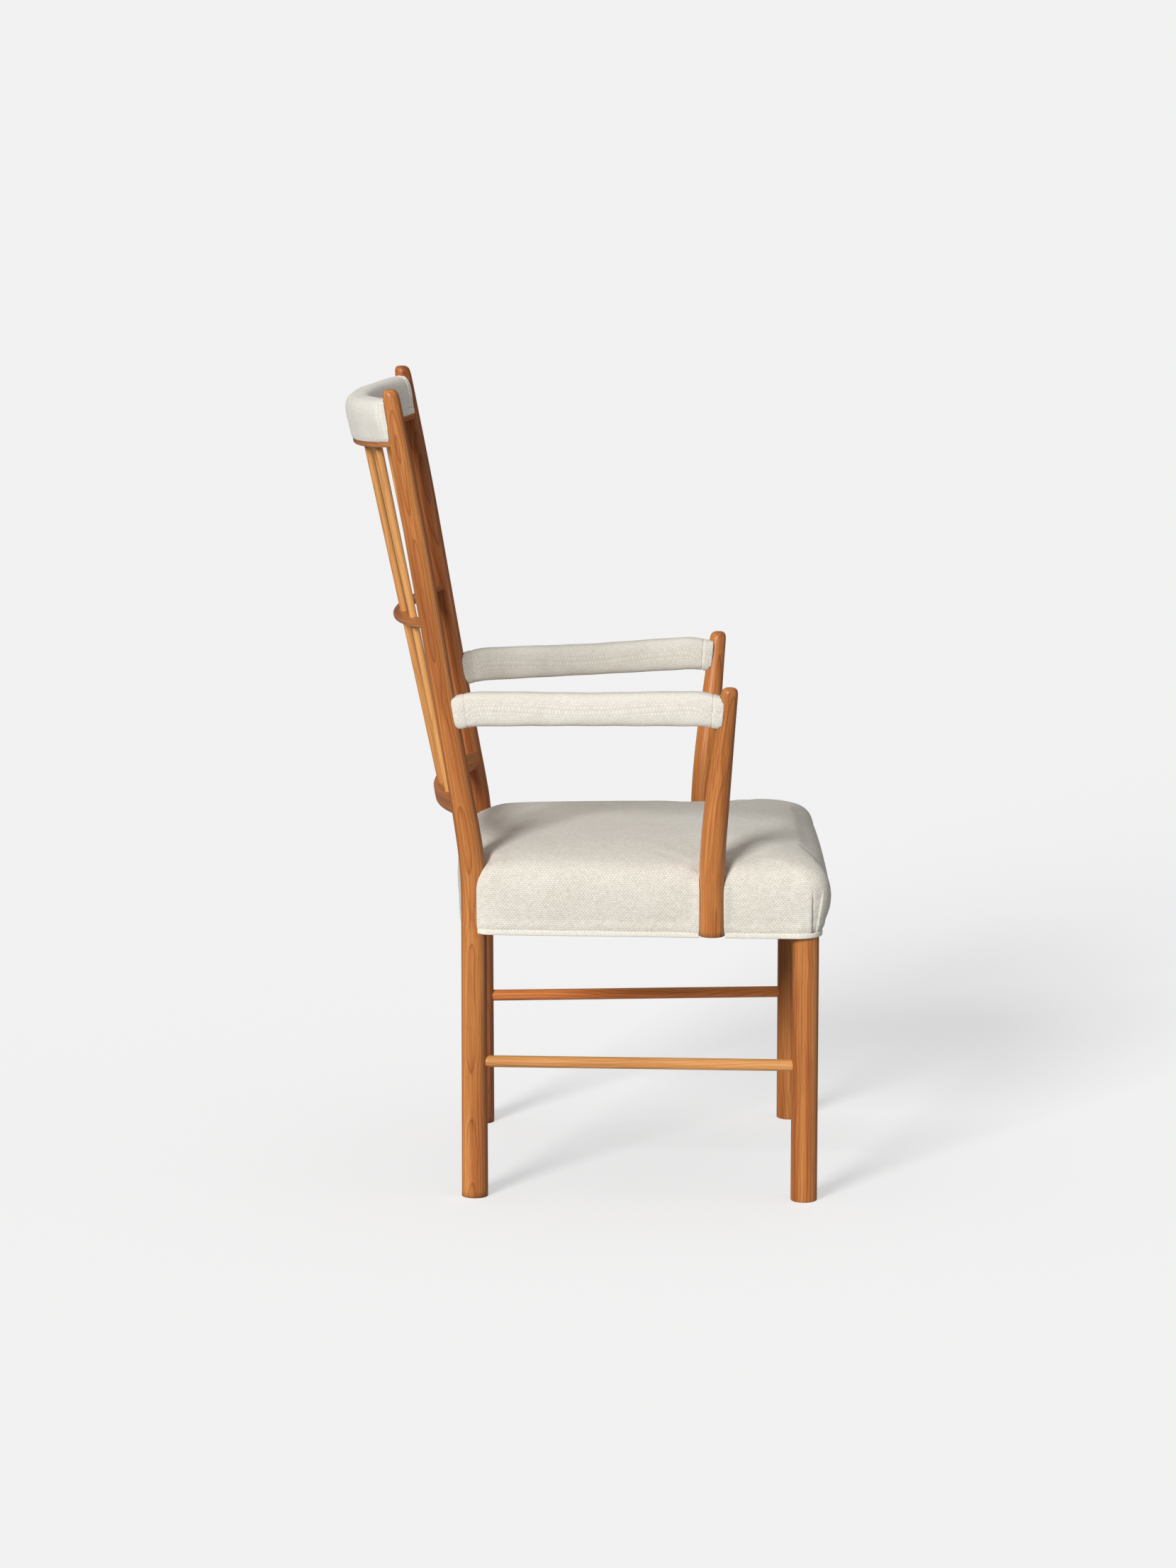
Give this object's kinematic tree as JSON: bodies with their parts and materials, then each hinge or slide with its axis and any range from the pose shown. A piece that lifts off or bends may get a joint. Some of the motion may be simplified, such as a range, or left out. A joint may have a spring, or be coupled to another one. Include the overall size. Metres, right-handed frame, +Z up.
{
  "type": "armchair",
  "caption": "High-backed wooden armchair with a bowed padded headrest, slim round spindles, sleeved arms and a deep covered seat.",
  "frame": {"origin": "on the floor, under the middle of the chair's bounding box", "axes": "+Z up, +Y rearwards so that the sitter faces -Y, +X to the sitter's left; X = 0 is the mirror plane"},
  "size_m": [0.5858, 0.6823, 1.1296],
  "materials": {
    "wood": "satin oiled hardwood",
    "inner_wood": "unfinished sawn hardwood",
    "linen": "basket-woven upholstery cloth",
    "jute": "woven webbing",
    "dust_cloth": "thin black bottom cloth",
    "steel": "plain steel"
  },
  "bodies": {
    "root": {"front_leg_left": "wood", "rear_post_left": "wood", "side_stretcher_left": "wood", "arm_post_left": "wood", "arm_rail_left": "wood", "front_leg_right": "wood", "rear_post_right": "wood", "side_stretcher_right": "wood", "arm_post_right": "wood", "arm_rail_right": "wood", "headrest_rail": "wood", "mid_back_rail": "wood", "lower_back_rail": "wood", "spindle_1": "wood", "spindle_2": "wood", "spindle_3": "wood", "spindle_4": "wood", "seat_rail_left": "inner_wood", "seat_rail_right": "inner_wood", "seat_rail_front": "inner_wood", "seat_rail_back": "inner_wood", "corner_block_front_left": "inner_wood", "corner_block_front_right": "inner_wood", "corner_block_rear_left": "inner_wood", "corner_block_rear_right": "inner_wood", "arm_pad_left": "linen", "arm_pad_right": "linen", "headrest_pad": "linen", "seat_pad": "linen", "seat_hem_front": "linen", "seat_hem_left": "linen", "seat_hem_right": "linen", "seat_hem_rear": "linen", "webbing_long_1": "jute", "webbing_long_2": "jute", "webbing_long_3": "jute", "webbing_long_4": "jute", "webbing_cross_1": "jute", "webbing_cross_2": "jute", "webbing_cross_3": "jute", "dust_cover": "dust_cloth", "block_screw_1": "steel", "block_screw_2": "steel", "block_screw_3": "steel", "block_screw_4": "steel", "block_screw_5": "steel", "block_screw_6": "steel", "block_screw_7": "steel", "block_screw_8": "steel", "arm_post_screw_1": "steel", "arm_post_screw_2": "steel", "arm_post_screw_3": "steel", "arm_post_screw_4": "steel"}
  },
  "joints": []
}
